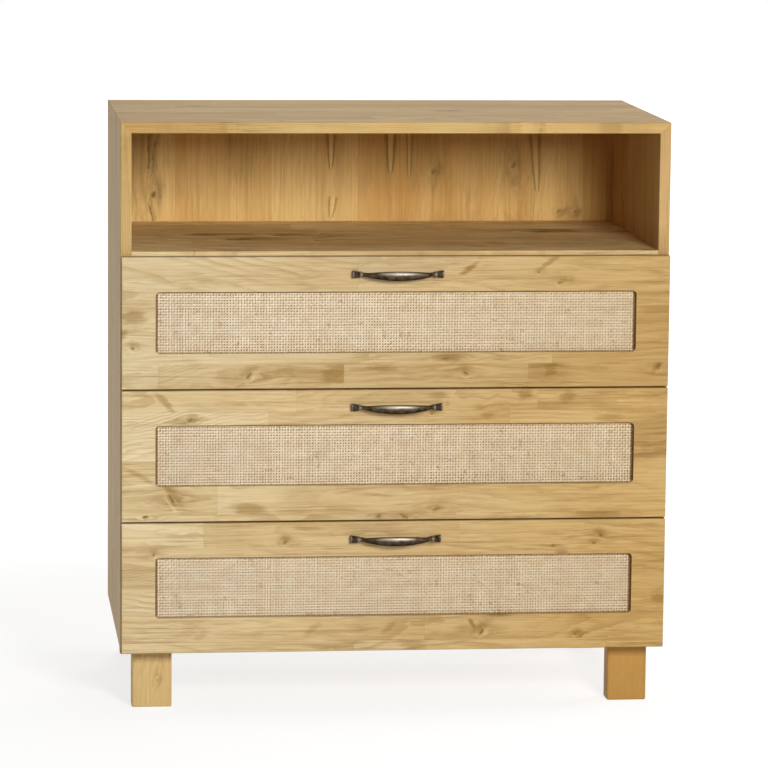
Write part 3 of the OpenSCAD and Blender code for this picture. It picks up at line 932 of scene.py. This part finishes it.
def smooth(t):
    t = min(1, max(0, t))
    return t * t * (3 - 2 * t)


def pull_mesh(number):
    """One bow pull, finer than the frame's, in the same place."""
    form = PullForm(settings().pull)
    low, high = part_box(f"drawer_{number}_pull")
    middle = (low + high) / 2
    sides = 48
    bow_steps = 26
    foot_steps = 44
    bow_end = 52
    # the sections of a foot stand closer together towards its end
    crowding = 1.5
    places = [bow_end * k / bow_steps for k in range(bow_steps)]
    span = form.half_length - bow_end
    for k in range(foot_steps + 1):
        places.append(bow_end + span * (1 - (1 - k / foot_steps) ** crowding))
    places = [-s for s in reversed(places[1:])] + places
    rings = []
    for place in places:
        ring = []
        for x, out, rise in form.section(place, sides):
            depth = out / MILLIMETRES
            ring.append((middle.x + x / MILLIMETRES, high.y - depth, middle.z + rise / MILLIMETRES))
        rings.append(ring)
    mesh = bmesh.new()
    tube(mesh, rings)
    return tube_piece(f"drawer_{number}_bow_pull", mesh)


# Operators, one to a piece or a group of like pieces

# places along and across each board, in the row frame
CARCASS_MARKS = {
    "top_board": [
        Knot(-0.272, -0.215, 0.003, 2.0, 0.4),
        Knot(0.24, -0.214, 0.0034, 2.4, 0.4),
        Knot(0.12, 0.02, 0.008),
        Knot(-0.31, 0.11, 0.007),
    ],
    "shelf": [
        Knot(-0.299, 0.036, 0.022, 1.3, 1.4, 0.0),
        Knot(-0.245, -0.04, 0.02, 1.3, 1.4, 0.0),
        Knot(-0.167, 0.02, 0.013, 1.6, 1.3, 0.0),
        Knot(0.284, 0.068, 0.022, 1.0, 1.8, 0.0),
        Knot(-0.33, -0.216, 0.0022, 1.5, 0.8),
    ],
    "left_side": [Knot(0.61, 0.06, 0.0075), Knot(0.31, -0.09, 0.006)],
    "right_side": [Knot(0.45, -0.05, 0.007), Knot(0.8, 0.13, 0.006)],
    "bottom_board": [Knot(0.18, 0.06, 0.008)],
}


class DressCarcass(bpy.types.Operator):
    """Finish the top, the sides, the shelf and the bottom in lacquered pine"""
    bl_idname = "dresser.carcass"
    bl_label = "Carcass boards"

    # how much painted shade the right end of a board takes on
    painted_shade = {"top_board": 0.3, "shelf": 0.45}

    def execute(self, context):
        look = settings().pine
        low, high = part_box("left_side")
        body = (look.body_pale, look.body_honey)
        tones = {
            "shelf": (look.shelf_pale, look.shelf_honey),
            "right_side": (look.right_pale, look.right_honey),
        }
        for k, (name, marks) in enumerate(CARCASS_MARKS.items()):
            lying = name not in ("left_side", "right_side")
            blank = glued_up(low.y, high.y, look.stave, look.lamella, seed=5 + k)
            material = pine(
                f"{name} pine", "X" if lying else "Z", "Y", blank, marks,
                seed=11 + k, tones=tones.get(name, body), contrast=1.6,
                spread=0.6 if lying else 0.35, painted_shade=self.painted_shade.get(name, 0.0),
            )
            paint(name, material)
        return {"FINISHED"}


BACK_MARKS = (
    Spike(0.88, -0.063, 0.03, 0.005, 0.9),
    Spike(0.782, -0.061, 0.018, 0.005, 0.7, 0.1),
    Spike(0.875, 0.041, 0.034, 0.006, 0.9),
    Spike(0.872, 0.074, 0.04, 0.004, 0.7),
    Spike(0.858, 0.297, 0.048, 0.006, 0.8, -0.06),
    Knot(0.878, -0.38, 0.0022, 14.0, 1.0, 0.05),
    Knot(0.868, -0.372, 0.0022, 12.0, 0.8, 0.12),
    Knot(0.806, -0.371, 0.005, 1.8, 1.0, 0.3),
    Knot(0.778, -0.376, 0.0022, 9.0, 0.9, -0.1),
    Knot(0.847, 0.118, 0.0042, 1.6, 0.9),
    Knot(0.858, 0.258, 0.0045, 1.4, 0.7),
    Knot(0.777, 0.34, 0.0036, 1.4, 0.9, 1.2),
    Knot(0.776, 0.368, 0.003, 1.4, 0.9, 1.2),
    Smudge(0.885, -0.215, 0.06, 0.045, 0.4),
    Smudge(0.885, 0.1, 0.065, 0.04, 0.35),
    Smudge(0.86, 0.258, 0.05, 0.026, 0.3),
    Smudge(0.85, -0.4, 0.12, 0.03, 0.5),
    Smudge(0.777, 0.345, 0.01, 0.03, 0.3),
    Knot(0.5, -0.18, 0.01),
    Knot(0.31, 0.15, 0.012),
    Knot(0.64, 0.33, 0.009),
)


class DressBack(bpy.types.Operator):
    """Finish the back panel in upright staves with spike knots"""
    bl_idname = "dresser.back_panel"
    bl_label = "Back panel"

    glue_lines = (-0.334, -0.262, -0.166, -0.108, -0.016, 0.052, 0.148, 0.224, 0.322, 0.380)

    def execute(self, context):
        look = settings().pine
        # every joint lies above or below the panel, so that its staves run through
        lamella = 2.2
        draw = random.Random(20)
        ends = [draw.uniform(1.0, 2.1) for _ in range(len(self.glue_lines) + 1)]
        blank = Blank(self.glue_lines, [lamella] * len(ends), ends)
        tones = (look.back_pale, look.back_honey)
        material = pine(
            "back panel pine", "Z", "X", blank, BACK_MARKS,
            seed=21, tones=tones, contrast=0.55, spread=0.55, painted_shade=0.6,
        )
        paint("back_panel", material)
        return {"FINISHED"}


class DressLegs(bpy.types.Operator):
    """Finish the four legs, each one stave wide"""
    bl_idname = "dresser.legs"
    bl_label = "Legs"

    def execute(self, context):
        look = settings().pine
        left = (look.leg_pale, look.leg_honey)
        right = (look.leg_amber, look.leg_brown)
        legs = ("front_left_leg", "front_right_leg", "back_left_leg", "back_right_leg")
        for k, name in enumerate(legs):
            low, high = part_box(name)
            middle = (low.x + high.x) / 2
            # the glue line lies beside the leg, and the joints above it
            blank = Blank(glue_lines=[middle + 0.06], lamellas=[0.9, 0.9], ends=[0.5, 0.5])
            marks = [Knot(0.045, middle + 0.009, 0.0026, 1.4, 0.6)] if k == 0 else []
            # painted light on the left legs and painted shade on the right ones, in their tones
            tones = left if middle < 0 else right
            material = pine(
                f"{name} pine", "Z", "X", blank, marks,
                seed=31 + k, tones=tones, contrast=0.5,
            )
            paint(name, material)
        return {"FINISHED"}


# heights are over the lower edge of the drawer front
FRONT_MARKS = {
    1: (
        Knot(-0.242, 0.022, 0.005, 1.6, 0.9, 0.9),
        Knot(0.113, 0.024, 0.0042, 1.2, 1.0, -0.5),
        Knot(-0.431, 0.067, 0.0038, 1.0, 0.9, 0.4),
        Knot(0.268, 0.173, 0.0028, 2.6, 0.9, 0.15),
        Knot(0.232, 0.19, 0.0022, 1.3, 0.8),
        Knot(0.432, 0.034, 0.005, 1.4, 0.8, 0.9),
        Knot(0.085, 0.049, 0.004, 2.6, 0.6, 0.1),
        Smudge(-0.432, 0.118, 0.024, 0.013, 0.9, -0.1),
        Smudge(-0.448, 0.092, 0.012, 0.01, 0.9),
        Smudge(0.118, 0.197, 0.024, 0.006, 1.0, 0.7),
        Smudge(0.245, 0.203, 0.028, 0.005, 0.7, 0.6),
        Smudge(-0.15, 0.026, 0.075, 0.018, 0.5),
        Smudge(-0.098, 0.026, 0.034, 0.02, 1.0),
        Smudge(-0.028, 0.033, 0.03, 0.007, 0.8),
        Smudge(0.085, 0.049, 0.026, 0.008, 0.9),
        Smudge(0.252, 0.028, 0.017, 0.013, 1.0, 0.4),
        Smudge(0.245, 0.028, 0.045, 0.022, 0.5),
        Smudge(0.43, 0.034, 0.016, 0.007, 0.8, 0.9),
        Smudge(0.43, 0.13, 0.04, 0.01, 0.5),
    ),
    2: (
        Knot(-0.368, 0.038, 0.0042, 2.8, 1.0, -1.1),
        Knot(0.058, 0.176, 0.0022, 1.2),
        Knot(-0.028, 0.006, 0.0046, 1.6, 1.0, 0.5),
        Knot(0.014, 0.006, 0.0046, 1.6, 1.0, -0.5),
        Knot(0.067, 0.017, 0.006, 1.5, 0.6),
        Knot(-0.408, 0.01, 0.006, 1.2, 1.0),
        Knot(-0.337, 0.168, 0.003, 1.4, 0.9),
        Smudge(-0.378, 0.196, 0.024, 0.006, 0.8, -0.8),
        Smudge(-0.345, 0.167, 0.032, 0.007, 0.7),
        Smudge(0.07, 0.205, 0.02, 0.008, 0.6),
        Smudge(0.15, 0.172, 0.014, 0.005, 0.7),
        Smudge(0.212, 0.206, 0.014, 0.01, 0.9, 0.3),
        Smudge(0.282, 0.203, 0.016, 0.012, 0.7, 0.5),
        Smudge(0.355, 0.168, 0.03, 0.007, 0.6),
        Smudge(-0.418, 0.075, 0.03, 0.005, 0.6, -0.5),
        Smudge(-0.24, 0.018, 0.038, 0.013, 0.9, -0.2),
        Smudge(0.34, 0.008, 0.05, 0.006, 0.6),
        Smudge(0.43, 0.13, 0.08, 0.07, 0.5),
    ),
    3: (
        Knot(-0.182, 0.183, 0.0038, 1.1),
        Knot(-0.397, 0.163, 0.0036, 1.2),
        Knot(0.341, 0.19, 0.0034, 1.2, 0.8, -0.6),
        Knot(0.33, 0.176, 0.0028, 1.4, 0.9),
        Knot(0.262, 0.173, 0.003, 1.2),
        Knot(0.146, 0.031, 0.0044, 1.6, 1.0, 0.9),
        Knot(0.302, 0.024, 0.0026, 1.4),
        Smudge(-0.14, 0.206, 0.03, 0.005, 0.7),
        Smudge(0.278, 0.162, 0.014, 0.004, 0.8),
        Smudge(0.44, 0.082, 0.016, 0.012, 0.7),
        Smudge(-0.32, 0.028, 0.014, 0.006, 0.4, 0.5),
        Smudge(-0.135, 0.038, 0.022, 0.006, 0.5, 0.7),
        Smudge(-0.01, 0.038, 0.018, 0.006, 0.5, 0.7),
        Smudge(-0.42, 0.125, 0.09, 0.05, 0.4),
        Smudge(0.13, 0.042, 0.012, 0.004, 1.0, -1.0),
        Smudge(0.172, 0.058, 0.028, 0.005, 1.0),
        Smudge(-0.1, 0.006, 0.045, 0.004, 0.8),
        Smudge(0.03, 0.01, 0.026, 0.01, 0.6),
    ),
}


class DressFronts(bpy.types.Operator):
    """Finish the three drawer fronts, their staves running from side to side"""
    bl_idname = "dresser.drawer_fronts"
    bl_label = "Drawer fronts"

    # glue lines by their height over the lower edge
    blanks = {
        1: Blank((0.040, 0.134), (0.303, 0.303, 0.600), (-0.087, -0.350, -0.065)),
        2: Blank((0.011, 0.100, 0.181), (0.397,) * 4, (0.100, -0.293, -0.210, -0.164)),
        3: Blank(
            (0.017, 0.066, 0.109, 0.142, 0.175),
            (0.420,) * 6,
            (-0.067, -0.370, 0.160, -0.030, -0.250, 0.105),
        ),
    }
    # how much paler than the first tones each front is: painted light, which makes up for the key
    # lamp's falloff towards the floor
    paler = {1: 0.99, 2: 1.07, 3: 1.09}

    def execute(self, context):
        look = settings().pine
        for number in DRAWERS:
            low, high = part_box(f"drawer_{number}_front")
            foot = low.z
            blank = self.blanks[number]
            blank = replace(blank, glue_lines=[foot + line for line in blank.glue_lines])
            marks = [replace(mark, across=mark.across + foot) for mark in FRONT_MARKS[number]]
            tones = [[part * self.paler[number] for part in tone] for tone in (look.pale, look.honey)]
            material = pine(
                f"drawer front {number} pine", "X", "Z", blank, marks,
                seed=50 + number, tones=tones, contrast=1.2, painted_shade=1.0, gap_shade_edges=(low.z, high.z),
            )
            paint(f"drawer_{number}_front", material)
        return {"FINISHED"}


class DressBoxes(bpy.types.Operator):
    """Finish the drawer boxes in bare pine with plywood bottoms"""
    bl_idname = "dresser.drawer_boxes"
    bl_label = "Drawer boxes"

    def execute(self, context):
        look = settings().cane
        tones = (srgb(232, 212, 172), srgb(216, 188, 140))
        for number in DRAWERS:
            low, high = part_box(f"drawer_{number}_box_left")
            blank = glued_up(low.z, high.z, width=0.08, lamella=0.45, seed=60 + number)
            sides = pine(f"drawer {number} side pine", "Y", "Z", blank, seed=60 + number, tones=tones)
            ends = pine(f"drawer {number} end pine", "X", "Z", blank, seed=70 + number, tones=tones)
            bottom = plywood(f"drawer {number} bottom plywood", "X", "Y")
            # the cane's backing is darkened, as painted shade in the weave's holes
            backing = plywood(
                f"drawer {number} backing plywood", "X", "Z", look.shaded_backing_pale, look.shaded_backing_brown
            )
            materials = {
                "box_left": sides, "box_right": sides, "box_front": ends, "box_back": ends,
                "box_bottom": bottom, "cane_backing": backing,
            }
            for piece, material in materials.items():
                paint(f"drawer_{number}_{piece}", material)
        return {"FINISHED"}


class WeaveCane(bpy.types.Operator):
    """Weave the cane of the three drawer fronts, strand over strand"""
    bl_idname = "dresser.cane"
    bl_label = "Woven cane"

    def execute(self, context):
        skins = (cane("upright cane", "X"), cane("lengthways cane", "Z"))
        for number in DRAWERS:
            for lengthways in (False, True):
                piece = weave_strands(number, lengthways)
                piece.data.materials.append(skins[lengthways])
                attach(piece, f"drawer_{number}")
                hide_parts(f"drawer_{number}_cane_panel")
        return {"FINISHED"}


class CastPulls(bpy.types.Operator):
    """Cast the three bow pulls in dark bronze"""
    bl_idname = "dresser.pulls"
    bl_label = "Bow pulls"

    def execute(self, context):
        bronze = antique_bronze("antique bronze")
        for number in DRAWERS:
            piece = pull_mesh(number)
            piece.data.materials.append(bronze)
            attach(piece, f"drawer_{number}")
            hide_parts(f"drawer_{number}_pull")
        return {"FINISHED"}


class FinishHardware(bpy.types.Operator):
    """Finish slides, screws and bolts in zinc, and the dowels in beech"""
    bl_idname = "dresser.hardware"
    bl_label = "Hardware"

    in_carcass = (
        "leg_bolts", "back_panel_screws",
        "left_cabinet_rails", "right_cabinet_rails", "cabinet_rail_screws",
    )
    in_drawer = ("pull_screws", "box_screws", "left_rail", "right_rail", "middle_rails")

    def execute(self, context):
        steel = zinc_steel("zinc plated steel")
        names = list(self.in_carcass)
        for number in DRAWERS:
            names += [f"drawer_{number}_{piece}" for piece in self.in_drawer]
        for name in names:
            paint(name, steel)
        tones = (srgb(214, 176, 128), srgb(196, 152, 100))
        blank = Blank(glue_lines=[0.0], lamellas=[0.9, 0.9], ends=[0.0, 0.0])
        beech = pine("beech dowel", "X", "Y", blank, seed=81, tones=tones, contrast=0.4)
        paint("carcass_dowels", beech)
        return {"FINISHED"}


class SetStage(bpy.types.Operator):
    """Set the floor, the lights and the camera"""
    bl_idname = "dresser.stage"
    bl_label = "Stage"

    # in pixels, and in millimetres
    picture_width = 768
    sensor_width = 36

    def execute(self, context):
        look = settings().stage
        self.set_camera(look)
        self.set_world(look)
        self.set_lamps(look)
        self.lay_floor()
        context.scene.view_settings.view_transform = "Standard"
        return {"FINISHED"}

    def set_camera(self, look):
        forward = Vector((math.sin(look.yaw), math.cos(look.yaw), 0))
        right = Vector((math.cos(look.yaw), -math.sin(look.yaw), 0))
        up = Vector((0, 0, 1))
        sight = forward * math.cos(look.pitch) - up * math.sin(look.pitch)
        head = forward * math.sin(look.pitch) + up * math.cos(look.pitch)
        side = right * math.cos(look.roll) - head * math.sin(look.roll)
        head = right * math.sin(look.roll) + head * math.cos(look.roll)
        turn = Matrix((side, head, -sight)).transposed().to_4x4()
        camera = bpy.data.objects.new("camera", bpy.data.cameras.new("camera"))
        camera.matrix_world = Matrix.Translation(look.camera) @ turn
        camera.data.sensor_width = self.sensor_width
        camera.data.lens = look.focal_pixels * self.sensor_width / self.picture_width
        camera.data.clip_end = 100
        bpy.context.scene.collection.objects.link(camera)
        bpy.context.scene.camera = camera

    def set_world(self, look):
        sky = Recipe(bpy.data.worlds.new("studio"))
        strength = sky.add("ShaderNodeMix", None, {0: sky.seen(), 2: look.ambient, 3: 1.0})
        white = {"Color": (1.0, 1.0, 1.0), "Strength": strength}
        light = sky.add("ShaderNodeBackground", None, white)
        bpy.context.scene.world = sky.end("ShaderNodeOutputWorld", light)

    def set_lamps(self, look):
        self.lamp("key", (0.9, -4.2, 1.86), (0, -0.2, 0.5), 0.95, look.key, True)
        self.lamp("overhead", (0, -0.1, 3.2), (0, 0, 0.97), 1.8, look.overhead, True)
        self.lamp("left", (-3.2, 0.75, 1.9), (-0.45, 0.1, 0.7), 1.4, look.left)
        self.lamp("right", (3.2, 0.75, 1.6), (0.45, 0.1, 0.5), 1.6, look.right)
        self.lamp("back", (0.6, 4.4, 1.9), (0, 0.25, 0.55), 2.2, look.back)

    def lamp(self, name, place, aim, size, watts, mirrored=False):
        data = bpy.data.lights.new(name, "AREA")
        data.shape = "SQUARE"
        data.size = size
        data.energy = watts
        lamp = bpy.data.objects.new(name, data)
        lamp.location = place
        lamp.rotation_euler = (Vector(aim) - Vector(place)).to_track_quat("-Z", "Y").to_euler()
        lamp.visible_glossy = mirrored
        bpy.context.scene.collection.objects.link(lamp)

    def lay_floor(self):
        mesh = bmesh.new()
        bmesh.ops.create_grid(mesh, x_segments=8, y_segments=8, size=14)
        floor = mesh_piece("floor", mesh)
        # seen directly it glows white, most away from the dresser, and its shadow stays
        paper = Recipe(bpy.data.materials.new("white paper"))
        distance = paper.add("ShaderNodeVectorMath", {"operation": "LENGTH"}, {0: paper.place()}, 1)
        bare = paper.seen() * (distance.rise(0.9, 2.4) * 0.38 + 0.62)
        grain = paper.noise(paper.place(), scale=40.0)
        grey = paper.mix(grain, (0.90, 0.90, 0.90), (0.93, 0.93, 0.93))
        matt = paper.add("ShaderNodeBsdfDiffuse", None, {"Color": grey})
        glow = paper.add("ShaderNodeEmission", None, {"Color": (1.0, 1.0, 1.0), "Strength": 1.25})
        both = paper.add("ShaderNodeMixShader", None, {0: bare, 1: matt, 2: glow})
        floor.data.materials.append(paper.end("ShaderNodeOutputMaterial", both))
        floor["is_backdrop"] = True


class DresserPanel(bpy.types.Panel):
    """Lists the steps that finish the dresser"""
    bl_idname = "VIEW3D_PT_dresser"
    bl_label = "Changing dresser"
    bl_space_type = "VIEW_3D"
    bl_region_type = "UI"
    bl_category = "Dresser"

    def draw(self, context):
        for step in STEPS:
            self.layout.operator(step.bl_idname)


STEPS = (
    SetStage, DressCarcass, DressBack, DressLegs, DressFronts, DressBoxes, WeaveCane, CastPulls,
    FinishHardware,
)
SETTINGS = (PineSettings, CaneSettings, PullSettings, StageSettings, DresserSettings)
CLASSES = (*SETTINGS, *STEPS, DresserPanel)


def register():
    for cls in CLASSES:
        bpy.utils.register_class(cls)
    bpy.types.Scene.dresser = bpy.props.PointerProperty(type=DresserSettings)


def unregister():
    del bpy.types.Scene.dresser
    for cls in reversed(CLASSES):
        bpy.utils.unregister_class(cls)


def main():
    register()
    bpy.ops.dresser.stage()
    bpy.ops.dresser.carcass()
    bpy.ops.dresser.back_panel()
    bpy.ops.dresser.legs()
    bpy.ops.dresser.drawer_fronts()
    bpy.ops.dresser.drawer_boxes()
    bpy.ops.dresser.cane()
    bpy.ops.dresser.pulls()
    bpy.ops.dresser.hardware()
    boxes = {"cad": cad_box, "visual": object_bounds()}
    sizes = {name: [list(corner) for corner in box] for name, box in boxes.items()}


if __name__ == "__main__":
    main()
